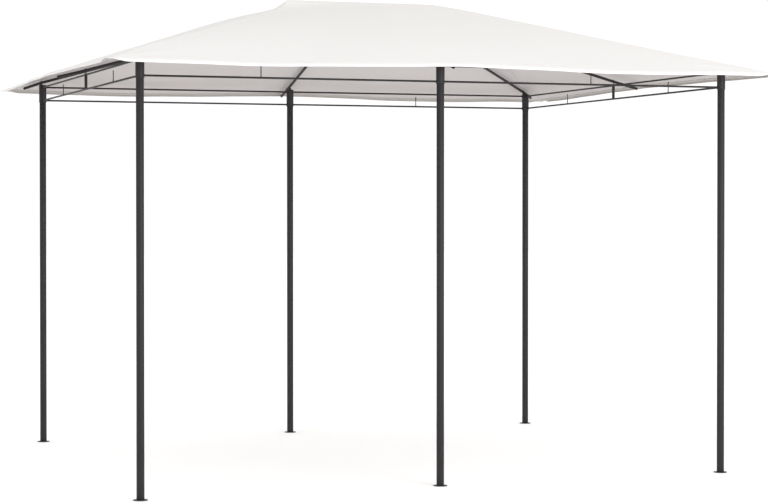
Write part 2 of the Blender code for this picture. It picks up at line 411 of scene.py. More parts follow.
def dress(piece, material, *nodes):
    """Shade and coat a piece, let it ride on the frame and stand for the solids that it replaces."""
    soften(piece)
    piece.data.materials.clear()
    piece.data.materials.append(material)
    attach(piece, "root")
    if nodes:
        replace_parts(piece, *nodes)
    dressed.append(piece)


def middle_of(node):
    """The middle of a solid's box."""
    low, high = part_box(node)
    return (low + high) / 2


def half_size(node, axis=0):
    """Half the size of a solid's box along an axis."""
    low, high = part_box(node)
    return (high[axis] - low[axis]) / 2


print("helpers ready")

# %% [markdown]
# ## Feet and posts
# Each post is a tube of 38 by 1.2 mm, welded to a flat foot disc of 70 by 3 mm. The disc is cut by
# a press, which rounds its rim a little. The post shows no seam. One foot and one post are made at
# the front left corner and copied to all six places.

# %% Make the feet and posts
POST_WALL = 0.0012
RIM_ROUND = 0.0008
BEAD_SIZE = 0.0018
DISC_SIDES = 72

PLACES = [f"{row}_{column}" for row in ("front", "back") for column in ("left", "middle", "right")]
FIRST = PLACES[0]

stand = middle_of("post_" + FIRST)


def ends_of(kind):
    """The lower and upper end of the first post, foot or head, on the first post's axis."""
    return [Vector((stand.x, stand.y, end.z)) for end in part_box(f"{kind}_{FIRST}")]


def set_out(patterns):
    """Copy patterns from the first post to all six: a kind's last one is for the middle posts."""
    for place in PLACES:
        for kind, pieces in patterns.items():
            node = f"{kind}_{place}"
            shift = middle_of(node) - middle_of(f"{kind}_{FIRST}")
            shift.z = 0.0
            source = pieces[-1 if place.endswith("middle") else 0]
            dress(copy_to(source, "steel_" + node, shift), steel, node)
    for pieces in patterns.values():
        for source in pieces:
            bpy.data.objects.remove(source)


post_radius = half_size("post_" + FIRST)
first_post = add_tube("first_post", *ends_of("post"), post_radius, POST_WALL)

foot_radius = half_size("foot_" + FIRST)
disc = add_bar("first_foot", *ends_of("foot"), foot_radius, DISC_SIDES)
round_edges(disc, RIM_ROUND, 3)
open_up(disc, "FACE", is_cap)
bpy.ops.mesh.inset(thickness=foot_radius - post_radius - 2 * BEAD_SIZE)
shut()
foot_bead = add_bead(ends_of("foot")[1], UP, post_radius + BEAD_SIZE * 0.4, BEAD_SIZE)
first_foot = join("first_foot", [disc, foot_bead])
set_out({"post": [first_post], "foot": [first_foot]})
print("posts and feet:", len(dressed))

# %% [markdown]
# ## Heads
# A head is a drawn steel cup over the top of the post: a sleeve of 43 mm with a closed, rounded
# crown. The two middle heads also carry a stud that the rafter rests on. The cup is a cylinder that
# loses its lower face. Its crown edge is rounded, its top is inset and extruded into the stud, and
# Solidify gives it a wall inwards.

# %% Make the heads
HEAD_WALL = 0.0022
CROWN_ROUND = 0.0025
STUD_RADIUS = 0.008

head_radius = half_size("head_" + FIRST)
crown = ends_of("head")[1].z


def make_cup(name, stud_top=None):
    """A cup over the first post, with a stud on its crown where a height is given."""
    cup = add_bar(name, *ends_of("head"), head_radius, ROUND_SIDES)
    round_edges(cup, CROWN_ROUND, 5, sharp_past(middle_of("head_" + FIRST), UP))
    open_up(cup, "FACE", lambda face: is_cap(face, -UP))
    bpy.ops.mesh.delete(type="FACE")
    if stud_top:
        choose(cup, "faces", is_cap)
        bpy.ops.mesh.inset(thickness=head_radius - CROWN_ROUND - STUD_RADIUS)
        bpy.ops.mesh.extrude_region_move(TRANSFORM_OT_translate={"value": UP * (stud_top - crown)})
    shut()
    add_wall(cup, HEAD_WALL)
    round_edges(cup, RIM_ROUND / 2, 2)
    return cup


plain_cup = make_cup("plain_cup")
studded_cup = make_cup("studded_cup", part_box("head_front_middle")[1].z)
set_out({"head": [plain_cup, studded_cup]})
print("pieces with the heads:", len(dressed), "crown at", round(crown, 4))

# %% [markdown]
# ## Rails and pins
# Two bars of 10 mm run from head to head in every bay, one above the other, and short pins of 5 mm
# stand on the lower one. Every end has its weld bead on the head. The front rails are made and
# copied to the back, the left ones to the right.

# %% Make the rails
PIN_RADIUS = 0.0025
PIN_SIDES = 20
PINS_ALONG = {
    ("front_left", "back_left"): [-0.947],
    ("front_right", "back_right"): [0.796],
    ("left", "right"): [-0.696, 0.647],
}
RAIL_BEAD = 0.0015


def make_rail(node, pins):
    """A bar between two heads with a bead at each end, and pins welded on top."""
    low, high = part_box(node)
    way = 0 if high.x - low.x > high.y - low.y else 1
    radius = half_size(node, 1 - way)
    axis = Vector((1 - way, way, 0.0))
    start = middle_of(node)
    start[way] = low[way]
    start.z = low.z + radius
    end = start + axis * (high - low).dot(axis)
    bar = add_bar("bar", start - axis * RAIL_BEAD / 2, end + axis * RAIL_BEAD / 2, radius)
    round_edges(bar, RIM_ROUND, 2)
    parts = [bar]
    for place in (start, end):
        parts.append(add_bead(place, axis, radius + RAIL_BEAD * 0.4, RAIL_BEAD))
    for along in pins:
        root = start.copy()
        root[way] = along
        top = Vector((root.x, root.y, high.z))
        pin = add_bar("pin", root, top, PIN_RADIUS, PIN_SIDES)
        round_edges(pin, PIN_RADIUS * 0.4, 3, sharp_past(root + UP * radius, UP))
        parts.append(pin)
        foot = root + UP * radius * 0.95
        parts.append(add_bead(foot, UP, PIN_RADIUS + RAIL_BEAD * 0.3, RAIL_BEAD * 0.8))
    return join("steel_" + node, parts)


def dress_pair(piece, node, other):
    """Dress a piece, and a copy of it on the other side of the frame."""
    twin = copy_to(piece, "steel_" + other, middle_of(other) - middle_of(node))
    dress(piece, steel, node)
    dress(twin, steel, other)


for (bay, opposite), pins in PINS_ALONG.items():
    for level in ("upper", "lower"):
        node = f"{level}_rail_{bay}"
        rail = make_rail(node, pins if level == "lower" else [])
        dress_pair(rail, node, f"{level}_rail_{opposite}")
print("pieces with the rails:", len(dressed))

# %% [markdown]
# ## Struts of the short sides
# In the middle of each short side a round upright of 16 mm ties the two rails together. It stands
# on the lower rail, the upper rail passes through it, and a thin pin on top reaches the rafter. It
# is one bar whose top face is inset to the size of the pin and extruded up to the rafter.

# %% Make the struts
SHOULDER_ABOVE_RAIL = 0.0025
STRUT_SIDES = 36

strut_low, strut_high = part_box("strut_left")
strut_radius = half_size("strut_left")
strut_middle = middle_of("strut_left")
upper_low, upper_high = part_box("upper_rail_left")
rail_radius = half_size("upper_rail_left", 2)
shoulder = upper_high.z + SHOULDER_ABOVE_RAIL

seat = Vector((strut_middle.x, 0.0, shoulder))
left_strut = add_bar("bar", (seat.x, 0.0, strut_low.z), seat, strut_radius, STRUT_SIDES)
open_up(left_strut, "FACE", is_cap)
bpy.ops.mesh.inset(thickness=strut_radius - PIN_RADIUS)
bpy.ops.mesh.extrude_region_move(TRANSFORM_OT_translate={"value": UP * (strut_high.z - shoulder)})
shut()
round_edges(left_strut, RIM_ROUND, 3)
parts = [left_strut]
for side in (-1, 1):
    through = (seat.x, side * strut_radius, (upper_low.z + upper_high.z) / 2)
    parts.append(add_bead(through, (0, 1, 0), rail_radius + RAIL_BEAD * 0.3, RAIL_BEAD * 0.8))
    beside = seat.x + side * rail_radius * 0.9
    ends = [(beside, end * strut_radius, strut_low.z) for end in (-1, 1)]
    parts.append(add_run(*ends, RAIL_BEAD))
parts.append(add_bead(seat, UP, PIN_RADIUS, RAIL_BEAD * 0.7))
dress_pair(join("steel_strut_left", parts), "strut_left", "strut_right")
print("struts from", round(strut_low.z, 4), "to", round(strut_high.z, 4))

# %% [markdown]
# ## Rafters
# Eight tubes of 16 by 1 mm carry the cloth. Each one is bent once, above the head or strut that it
# crosses, so that its tip runs flatter or steeper than the rest and follows the cloth. A pipe bender
# bends a tube round a former, so the bend is an arc: a ring of points is extruded along the first
# run, spun round the centre of the bend, and extruded again to the tip. A black plastic plug closes
# the tip, and a screw holds the rafter down at the bend.

# %% Where each rafter runs
BEND_HEIGHT = {"corner": 2.1125, "middle": 2.121, "side": 2.109}
CORNER_ASIDE = 0.014
CORNER_TIP = 0.120
CORNER_TIP_HEIGHT = 2.082
MIDDLE_TIP = (1.482, 2.069)
SIDE_TIP = (1.690, 2.071)
RAFTER_RADIUS = 0.008
RAFTER_WALL = 0.001
RAFTER_TOP = 2.470

SIDES = {"left": -1, "right": 1}
ROWS_OF_POSTS = {"front": -1, "back": 1}

hub_middle = middle_of("hub_right")
hub_radius = half_size("hub_right")
bar_middle = middle_of("ridge_bar")
bar_radius = half_size("ridge_bar", 1)


def from_hub(side, bend):
    """Where a rafter leaves the rim of the left (-1) or right (1) hub."""
    hub = Vector((side * hub_middle.x, 0.0, RAFTER_TOP))
    run = bend - hub
    flat = Vector((run.x, run.y, 0.0))
    fall = abs(run.z) / flat.length
    return hub + flat.normalized() * (hub_radius + RAFTER_RADIUS * fall)


def corner_path(row, side):
    """The three points of a corner rafter, which crosses its head a little beside the middle."""
    hub = Vector((SIDES[side] * hub_middle.x, 0.0, 0.0))
    head = middle_of(f"head_{row}_{side}")
    outward = Vector((head.x - hub.x, head.y, 0.0)).normalized()
    aside = Vector((-outward.y, outward.x, 0.0)) * CORNER_ASIDE
    bend = Vector((head.x, head.y, BEND_HEIGHT["corner"])) + aside
    tip = bend + outward * CORNER_TIP
    tip.z = CORNER_TIP_HEIGHT
    return [from_hub(SIDES[side], bend), bend, tip]


def side_path(side):
    """The three points of the rafter over a short side's strut."""
    bend = Vector((side * abs(strut_middle.x), 0.0, BEND_HEIGHT["side"]))
    return [from_hub(side, bend), bend, Vector((side * SIDE_TIP[0], 0.0, SIDE_TIP[1]))]


def middle_path(row):
    """The three points of the rafter over a middle post, which starts at the ridge bar."""
    head = middle_of(f"head_{row}_middle")
    bend = Vector((head.x, head.y, BEND_HEIGHT["middle"]))
    bar = Vector((head.x, 0.0, bar_middle.z))
    start = bar + (bend - bar).normalized() * bar_radius
    return [start, bend, Vector((head.x, ROWS_OF_POSTS[row] * MIDDLE_TIP[0], MIDDLE_TIP[1]))]


paths = {"rafter_left": side_path(-1), "rafter_right": side_path(1)}
for row in ROWS_OF_POSTS:
    paths[f"rafter_{row}_middle"] = middle_path(row)
    for side in SIDES:
        paths[f"rafter_{row}_{side}"] = corner_path(row, side)
print("rafters:", {name: round((path[1] - path[0]).length, 3) for name, path in paths.items()})

# %% Bend the tubes
BEND_RADIUS = 0.600
BEND_STEPS = 4
TUBE_SIDES = 28


def bend_tube(name, path):
    """A rafter along three points: extruded, spun round its bend, and extruded to its end."""
    start, corner, end = path
    first = (corner - start).normalized()
    second = (end - corner).normalized()
    angle = first.angle(second)
    cut = BEND_RADIUS * math.tan(angle / 2)
    axis = first.cross(second).normalized()
    arc_start = corner - first * cut
    ring = {"vertices": TUBE_SIDES, "radius": RAFTER_RADIUS}
    tube = add_round(bpy.ops.mesh.primitive_circle_add, name, start, first, **ring)
    open_up(tube)
    bpy.ops.mesh.extrude_edges_move(TRANSFORM_OT_translate={"value": arc_start - start})
    centre = arc_start + axis.cross(first) * BEND_RADIUS
    bpy.ops.mesh.spin(steps=BEND_STEPS, angle=-angle, center=centre, axis=axis)
    bpy.ops.mesh.extrude_edges_move(TRANSFORM_OT_translate={"value": end - corner - second * cut})
    bpy.ops.mesh.select_all(action="SELECT")
    bpy.ops.mesh.remove_doubles(threshold=0.00001)
    bpy.ops.mesh.normals_make_consistent(inside=False)
    shut()
    add_wall(tube, RAFTER_WALL)
    return tube


# %% Finish the rafters with plugs, spacers and screws
PLUG_LENGTH = 0.003
PLUG_INSIDE = 0.004
PLUG_PROUD = 0.0002
SCREW_RADIUS = 0.0055
SCREW_HEIGHT = 0.0032
SCREW_SEAT = 0.001
SCREW_SINK = 0.0006
SOCKET_RIM = 0.0016
SPACER_RADIUS = 0.006


def add_plug(place, axis, radius):
    """The domed plastic plug that closes a tube's end."""
    axis = axis.normalized()
    inner_end = place - axis * PLUG_INSIDE
    plug = add_bar("plug", inner_end, place + axis * PLUG_LENGTH, radius + PLUG_PROUD, TUBE_SIDES)
    round_edges(plug, PLUG_LENGTH * 0.8, 4, sharp_past(place, axis))
    return plug


def add_screw(place, axis):
    """A button-head screw with a round socket, its head standing on a place."""
    screw = add_bar("screw", place - axis * SCREW_SEAT, place + axis * SCREW_HEIGHT, SCREW_RADIUS)
    round_edges(screw, SCREW_HEIGHT * 0.6, 4, sharp_past(place, axis))
    open_up(screw, "FACE", lambda face: is_cap(face, axis))
    bpy.ops.mesh.inset(thickness=SOCKET_RIM)
    bpy.ops.mesh.extrude_region_move(TRANSFORM_OT_translate={"value": -axis * SCREW_HEIGHT * 0.6})
    shut()
    return screw


def up_from(path):
    """The direction that points up and square to a rafter's first run."""
    run = (path[1] - path[0]).normalized()
    return (UP - run * run.z).normalized()


plugs = []
screws = []
for node, path in paths.items():
    parts = [bend_tube("steel_" + node, path)]
    if node.endswith("middle"):
        parts.append(add_bead(path[0], path[1] - path[0], RAFTER_RADIUS * 1.02, BEAD_SIZE))
    elif node.count("_") == 2:
        under = path[1] - UP * RAFTER_RADIUS * 0.9
        seat = Vector((under.x, under.y, crown))
        spacer = add_bar("spacer", seat, under, SPACER_RADIUS)
        round_edges(spacer, RIM_ROUND / 2, 2)
        parts.append(spacer)
        parts.append(add_bead(seat, UP, SPACER_RADIUS, RAIL_BEAD * 0.7))
    dress(join("steel_" + node, parts), steel, node)
    plugs.append(add_plug(path[2], path[2] - path[1], RAFTER_RADIUS))
    screws.append(add_screw(path[1] + UP * (RAFTER_RADIUS - SCREW_SINK), UP))
print("rafters:", len(paths))

# %% [markdown]
# ## Hubs and ridge bar
# The photograph doesn't show what is under the ridge, so this follows what such roofs have: a round
# bar along the ridge on two turned hubs. Each hub has three short sleeves: a rafter is pushed into
# each of them and held by a screw.

# %% Make the hubs and the ridge bar
HUB_SIDES = 64
HUB_ROUND = 0.002
SLEEVE_LENGTH = 0.040
SLEEVE_BACK = 0.004
SLEEVE_ROOM = 0.0003
SLEEVE_WALL = 0.0016
RIDGE_BEAD = 0.0025


def make_hub(ending):
    """A turned disc with a sleeve for each of its three rafters and a weld to the ridge bar."""
    name = "steel_hub_" + ending
    low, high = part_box("hub_" + ending)
    place = (low + high) / 2
    disc = add_bar(name, (place.x, place.y, low.z), (place.x, place.y, high.z), hub_radius, HUB_SIDES)
    round_edges(disc, HUB_ROUND, 4)
    parts = [disc]
    outer = RAFTER_RADIUS + SLEEVE_WALL
    for row in ("", "front_", "back_"):
        path = paths[f"rafter_{row}{ending}"]
        run = (path[1] - path[0]).normalized()
        ends = path[0] - run * SLEEVE_BACK, path[0] + run * SLEEVE_LENGTH
        parts.append(add_tube("sleeve", *ends, outer + SLEEVE_ROOM, SLEEVE_WALL, TUBE_SIDES))
        parts.append(add_bead(path[0], run, outer, BEAD_SIZE))
        up = up_from(path)
        screws.append(add_screw(path[0] + run * SLEEVE_LENGTH * 0.6 + up * outer, up))
    for edge in (-1, 1):
        seat = place.y + edge * bar_radius * 0.45
        ends = [(place.x + end * hub_radius * 0.8, seat, high.z) for end in (-1, 1)]
        parts.append(add_run(*ends, RIDGE_BEAD))
    return join(name, parts)


for ending in SIDES:
    dress(make_hub(ending), steel, "hub_" + ending)

ends = [Vector((box_end.x, 0.0, bar_middle.z)) for box_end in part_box("ridge_bar")]
dress(add_tube("steel_ridge_bar", *ends, bar_radius, POST_WALL), steel, "ridge_bar")
for end in ends:
    plugs.append(add_plug(end, end - bar_middle, bar_radius))
print("hubs and ridge bar done; screws:", len(screws), "plugs:", len(plugs))

# %% [markdown]
# ## Black plastic and black screws
# The plugs are moulded polyethylene: black, IOR about 1.5, with the fine grain of an etched mould.
# The screws are steel blackened in hot oil, a thin dark oxide over metal, so they are a dark metal
# with a low gloss.

# %% Make both finishes
MOULD_GRAIN = 0.0008

polyethylene = satin_skin("moulded polyethylene", "201f20", "191819", 0.55, MOULD_GRAIN)
oxide = satin_skin("black-oxide steel", "4b494b", "333134", 0.42, MOULD_GRAIN, metallic=1.0)
for name, fittings, finish in (("plastic_plugs", plugs, polyethylene), ("steel_screws", screws, oxide)):
    dress(join(name, fittings), finish)
print("pieces of the frame:", len(dressed))

# %% [markdown]
# ## Does each piece sit where its solid is?
# Every dressed piece has to lie where the solid that it stands for lies. This compares the two
# boxes and prints the widest difference. It is a hub's: its sleeves reach out over the rafters.

# %% Compare the boxes
furthest = ("none", 0.0)
for piece in dressed:
    for node in piece.get("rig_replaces", []):
        low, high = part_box(node)
        for axis in range(3):
            reach = [point.co[axis] for point in piece.data.vertices]
            off = max(abs(low[axis] - min(reach)), abs(max(reach) - high[axis]))
            if off > furthest[1]:
                furthest = (piece.name, off)
print("furthest from its solid's box:", furthest[0], round(furthest[1] * 1000, 2), "mm")
triangles = sum(len(face.vertices) - 2 for piece in dressed for face in piece.data.polygons)
print("triangles in the frame:", triangles)

# %% [markdown]
# ## The cloth's own shape
# The roof is one sheet: two long slopes, two end slopes, a short ridge and four hips. It is held up
# by the ridge bar, the rafters and the pull of its hem. Between them it hangs a little: the eaves
# dip beside the corners, the long slopes have a shallow belly, and the hips fall away fast beside
# the ends of the ridge bar, because no rafter runs under them there. One function of x and y gives
# the height of the cloth, and every step that follows asks it.

# %% The height of the cloth
canopy_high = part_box("canopy")[1]
HALF_X = canopy_high.x
HALF_Y = canopy_high.y
RIDGE_TOP = canopy_high.z
RIDGE_HALF = 0.420
EAVE_CORNER = 2.070
EAVE_LONG_MIDDLE = 2.082
EAVE_SHORT_MIDDLE = 2.088
EAVE_SAG = 0.012
LONG_BELLY = 0.010
END_BELLY = 0.006
HIP_FALL = {-1: 0.033, 1: -0.006}
HIP_FALL_START = 0.012
HIP_FALL_BUILD = 0.03
HIP_FALL_END = 0.75
HIP_FALL_WIDTH = 0.20


def eave_height(across, middle, sag):
    """Height of the eave at a share, -1 to 1, of the way from its middle to a corner."""
    way = abs(across)
    return middle + (EAVE_CORNER - middle) * way - sag * math.sin(math.pi * way) ** 2


def hip_fall(x, down, off_hip):
    """How far the cloth hangs below a straight hip, by the share down it and the way off it."""
    start = 1.0 - math.exp(-max(0.0, down - HIP_FALL_START) / HIP_FALL_BUILD)
    fade = max(0.0, 1.0 - down / HIP_FALL_END)
    return HIP_FALL[-1 if x < 0 else 1] * start * fade * math.exp(-((off_hip / HIP_FALL_WIDTH) ** 2))


def shares(x, y):
    """How far down the long slope and the end slope a place would be, as shares from 0 to 1."""
    return abs(y) / HALF_Y, (abs(x) - RIDGE_HALF) / (HALF_X - RIDGE_HALF)


def taut_height(x, y):
    """Height of the cloth's upper side before it creases."""
    long_share, end_share = shares(x, y)
    down = max(long_share, end_share, 0.0)
    if long_share >= end_share:
        across = x / (RIDGE_HALF + (HALF_X - RIDGE_HALF) * long_share)
        edge = eave_height(across, EAVE_LONG_MIDDLE, EAVE_SAG)
        depth = LONG_BELLY
    else:
        across = y / (HALF_Y * end_share)
        edge = eave_height(across, EAVE_SHORT_MIDDLE, 0.0)
        depth = END_BELLY
    belly = depth * math.sin(math.pi * down) * math.sin(math.pi * across) ** 2
    straight = RIDGE_TOP + (edge - RIDGE_TOP) * down
    return straight - belly - hip_fall(x, down, abs(long_share - end_share))


print("height at the ridge and above a corner:", RIDGE_TOP, round(taut_height(HALF_X, HALF_Y), 3))

# %% [markdown]
# ## Creases
# Stretched cloth is never quite smooth. Pull gathers at the corners and runs out from them in a
# fan of shallow folds. Along the eaves the hem is a little shorter than the cloth above it, which
# leaves ripples beside it. And all over, the weave gives a slow, low billow. Each of the three is a
# few millimetres deep and dies away towards the ridge, where the bar holds the cloth. The noise that
# shapes them is read in three different layers, so that no two of them look alike.

# %% How deep the creases are
FAN_DEPTH = 0.0022
FAN_START = 0.05
FAN_GROWTH = 0.15
FAN_REACH = 0.42
FAN_FOLDS = 15.0
RIPPLE_DEPTH = 0.0030
RIPPLE_WIDTH = 0.11
RIPPLE_LENGTH = RIPPLE_WIDTH / 0.35
RIPPLE_REACH = 0.16
BILLOW_DEPTH = 0.0026
BILLOW_SIZE = 0.42
HELD_SHARE = 0.25
WAVER = 2.5
WAVER_SIZE = 1 / 3
FAN_LAYER, RIPPLE_LAYER, BILLOW_LAYER = 1.7, 4.2, 9.1


def creases(x, y):
    """How far the creases lift or lower the cloth at a place."""
    long_share, end_share = shares(x, y)
    down = max(long_share, end_share, 0.0)
    held = min(1.0, down / HELD_SHARE)
    to_corner = Vector((HALF_X - abs(x), HALF_Y - abs(y)))
    turn = math.atan2(to_corner.y, to_corner.x)
    waver = WAVER * noise.noise(Vector((x / WAVER_SIZE, y / WAVER_SIZE, FAN_LAYER)))
    fan = math.sin(FAN_FOLDS * turn + waver) * math.exp(-((to_corner.length / FAN_REACH) ** 2))
    fan *= max(0.0, min(1.0, (to_corner.length - FAN_START) / FAN_GROWTH))
    from_eave = (1.0 - down) * (HALF_Y if long_share >= end_share else HALF_X - RIDGE_HALF)
    along = x if long_share >= end_share else y
    ripple = noise.noise(Vector((along / RIPPLE_LENGTH, from_eave / RIPPLE_WIDTH, RIPPLE_LAYER)))
    ripple *= math.exp(-from_eave / RIPPLE_REACH)
    billow = noise.noise(Vector((x / BILLOW_SIZE, y / BILLOW_SIZE, BILLOW_LAYER)))
    return held * (FAN_DEPTH * fan + RIPPLE_DEPTH * ripple + BILLOW_DEPTH * billow)


def cloth_height(x, y):
    """Height of the cloth's upper side, creases and all."""
    x = max(-HALF_X, min(HALF_X, x))
    y = max(-HALF_Y, min(HALF_Y, y))
    return taut_height(x, y) + creases(x, y)


CLOTH_THICKNESS = 0.0007
PROBES = 60
OVER_SLOPE = 1.04


def room_over(path):
    """The least room between a rafter and the cloth above it."""
    gaps = []
    for start, end in zip(path, path[1:]):
        for step in range(PROBES + 1):
            place = start.lerp(end, step / PROBES)
            gaps.append(cloth_height(place.x, place.y) - place.z)
    return min(gaps) - CLOTH_THICKNESS - RAFTER_RADIUS * OVER_SLOPE


room = {name: round(room_over(path) * 1000, 1) for name, path in paths.items()}
print("room between rafters and cloth in mm:", room)

# %% [markdown]
# ## Coated polyester
# The cloth is a plain weave of polyester yarn with a thin polyamide coat on its lower side. It
# scatters light back and lets a part of it through, so the roof is never dark underneath. A mix of
# a rough plastic shader and a translucent one does both. Light and shade are also painted into its
# colour by height: the white upper side is painted paler towards the eaves, and the coated lower
# side is painted greyer, as shade, and darkest towards the eaves. The hem, where the cloth lies
# double, lets hardly any light through, and its darker colour is painted shade. Real threads lie
# about 0.3 mm apart: here they are drawn ten times as coarse, so that they show.

# %% Make the cloth's finishes
THREAD_SPACING = 0.0030
WEAVE_DEPTH = 0.00008
CRUMPLE_SIZE = 0.035
CRUMPLE_DEPTH = 0.0012
SHADE_SIZE = 0.9
SHADE_DRIFT = 0.16
BANDS_IN_A_WAVE = 20 / math.tau


def coated_polyester(name, painted_light_at_ridge, painted_light_at_eave, through, share, roughness=0.62):
    """Plain-woven polyester: matt, translucent, with painted light and shade that change from ridge to
    eaves.
    """
    material, tree = new_finish(name)
    place = add_node(tree, "TexCoord").outputs["Object"]
    height = add_node(tree, "SeparateXYZ", links={"Vector": place}).outputs["Z"]
    drift = add_node(tree, "TexNoise", {"Scale": 1 / SHADE_SIZE, "Detail": 3.0}, {"Vector": place})
    # Painted light and shade: the colour blends by height from the ridge's colour to the eaves' colour.
    painted_light_by_height = add_node(
        tree,
        "MapRange",
        {"From Min": RIDGE_TOP, "From Max": EAVE_CORNER},
        {"Value": height},
        interpolation_type="SMOOTHSTEP",
    )
    blend = add_node(
        tree, "Math", {1: SHADE_DRIFT, 2: -SHADE_DRIFT / 2}, {0: drift}, operation="MULTIPLY_ADD"
    )
    level = add_node(tree, "Math", links={0: painted_light_by_height, 1: blend}, operation="ADD", use_clamp=True)
    colour = add_node(
        tree, "Mix", {6: linear(painted_light_at_ridge), 7: linear(painted_light_at_eave)}, {0: level}, data_type="RGBA"
    )
    warp, weft = (
        add_node(
            tree,
            "TexWave",
            {"Scale": 1 / (THREAD_SPACING * BANDS_IN_A_WAVE), "Distortion": 0.4, "Detail": 1.0},
            {"Vector": place},
            bands_direction=direction,
        )
        for direction in ("X", "Y")
    )
    yarns = {0: warp.outputs["Fac"], 1: weft.outputs["Fac"]}
    weave = add_node(tree, "Math", links=yarns, operation="MULTIPLY")
    crumple = add_node(
        tree,
        "TexNoise",
        {"Scale": 1 / CRUMPLE_SIZE, "Detail": 2.0, "Distortion": 0.6},
        {"Vector": place},
    )
    soft_bump = add_node(
        tree, "Bump", {"Strength": 0.35, "Distance": CRUMPLE_DEPTH}, {"Height": crumple}
    )
    bump = add_node(
        tree,
        "Bump",
        {"Strength": 0.6, "Distance": WEAVE_DEPTH},
        {"Height": weave, "Normal": soft_bump},
    )
    shader = add_node(
        tree,
        "BsdfPrincipled",
        {"Roughness": roughness, "Specular IOR Level": 0.3},
        {"Base Color": colour.outputs[2], "Normal": bump},
    )
    glow = add_node(tree, "BsdfTranslucent", {"Color": linear(through)})
    mix = add_node(tree, "MixShader", {0: share}, {1: shader, 2: glow})
    add_node(tree, "OutputMaterial", links={"Surface": mix})
    return material


# Each pair of colours is painted light and shade by height: paler eaves above, a greyer lower side
# darker at the eaves, and a darker hem.
polyester = coated_polyester("woven polyester", "ebe9e6", "f2f0ee", "f0eeec", 0.14)
coat = coated_polyester("polyamide-coated polyester", "cdcace", "c4bebc", "e0dcda", 0.12)
doubled_and_shaded = coated_polyester("doubled hem cloth", "b8b4b1", "b0aba7", "d8d4d0", 0.06)
thread_finish = coated_polyester("polyester thread", "f2f1f0", "f2f1f0", "f0eeec", 0.05, 0.45)
print("finishes:", polyester.name, coat.name, doubled_and_shaded.name, thread_finish.name)

# %% [markdown]
# ## The sheet
# A real canopy is cut as four pieces, one for each slope, and sewn together along the hips. The
# sheet is laid out the same way: four grids, whose rows run along the eave and whose outermost
# columns lie a seam's width beside the hips. The rows are set in place in plan, the four are merged
# along the hips into one sheet, and each point is lifted to the height of the cloth. A grid bisected
# along the hips would do too, but it leaves slivers that crumple when the cloth gets its thickness.

# %% Lay out and lift the sheet
LONG_COLUMNS = 110
END_COLUMNS = 90
ROWS = 60
ROW_GROWTH = 1.15
COLUMN_BEND = 1.1
FOLD_RADIUS = 0.003
SAME_PLACE = 0.00002
SEAM_HALF = 0.012
TAPE_START = 0.16
TAPE_END = 1.97
TAPE_UNDER = 0.0011
TAPE_THICKNESS = 0.0006

FLAT_X = HALF_X - FOLD_RADIUS
FLAT_Y = HALF_Y - FOLD_RADIUS
hip_length = math.hypot(FLAT_X - RIDGE_HALF, FLAT_Y)
LONG_MARGIN = SEAM_HALF * hip_length / FLAT_Y
END_MARGIN = SEAM_HALF * hip_length / (FLAT_X - RIDGE_HALF)


def spread(t, columns, half, margin):
    """A place on a row: -1 and 1 are the hips, the next ones lie a margin in, closer than the rest."""
    last = 1.0 - 2.0 / columns
    if abs(t) > last + 0.5 / columns:
        return math.copysign(half, t)
    return math.sin(COLUMN_BEND * t / last) / math.sin(COLUMN_BEND) * (half - min(margin, half / 4))


def lay_slope(columns, place, turn):
    """A grid whose rows run along the eave, each point put in its place in plan."""
    bpy.ops.object.select_all(action="DESELECT")
    bpy.ops.mesh.primitive_grid_add(x_subdivisions=columns, y_subdivisions=ROWS, size=2.0)
    slope = bpy.context.object
    for point in slope.data.vertices:
        share = ((1.0 - point.co.y) / 2) ** ROW_GROWTH
        point.co.x, point.co.y = place(turn, point.co.x, share)
    return slope


def on_long_slope(turn, t, share):
    """A place in plan on the back (-1) or front (1) slope."""
    half = RIDGE_HALF + (FLAT_X - RIDGE_HALF) * share
    return turn * spread(t, LONG_COLUMNS, half, LONG_MARGIN), -turn * FLAT_Y * share


def on_end_slope(turn, t, share):
    """A place in plan on the left (-1) or right (1) slope."""
    down = turn * (RIDGE_HALF + (FLAT_X - RIDGE_HALF) * share)
    return down, turn * spread(t, END_COLUMNS, FLAT_Y * share, END_MARGIN)


slopes = []
for turn in (-1, 1):
    slopes.append(lay_slope(LONG_COLUMNS, on_long_slope, turn))
    slopes.append(lay_slope(END_COLUMNS, on_end_slope, turn))
cloth = join("canopy_cloth", slopes)
open_up(cloth)
bpy.ops.mesh.remove_doubles(threshold=SAME_PLACE)
shut()
for point in cloth.data.vertices:
    point.co.z = cloth_height(point.co.x, point.co.y)
for finish in (polyester, coat, doubled_and_shaded, doubled_and_shaded):
    cloth.data.materials.append(finish)
print("cloth points:", len(cloth.data.vertices))
print("faces that look down:", sum(face.normal.z < 0 for face in cloth.data.polygons))

# %% Lift a tape off the underside of each hip
def on_seam(middle):
    """Whether a place lies on the narrow strip of cloth along a hip."""
    top = Vector((RIDGE_HALF, 0.0))
    run = (Vector((HALF_X, HALF_Y)) - top).normalized()
    away = Vector((abs(middle.x), abs(middle.y))) - top
    along = away.dot(run)
    off = abs(away.x * run.y - away.y * run.x)
    return off < SEAM_HALF and TAPE_START < along < TAPE_END


open_up(cloth, "FACE", lambda face: on_seam(face.calc_center_median()))
bpy.ops.mesh.duplicate()
bpy.ops.mesh.separate(type="SELECTED")
shut()
tapes = next(thing for thing in bpy.context.selected_objects if thing is not cloth)
tapes.name = "canopy_hip_tapes"
tapes.data.materials.clear()
for point in tapes.data.vertices:
    point.co.z -= TAPE_UNDER
add_wall(tapes, TAPE_THICKNESS)
soften(tapes)
print("tape faces:", len(tapes.data.polygons))

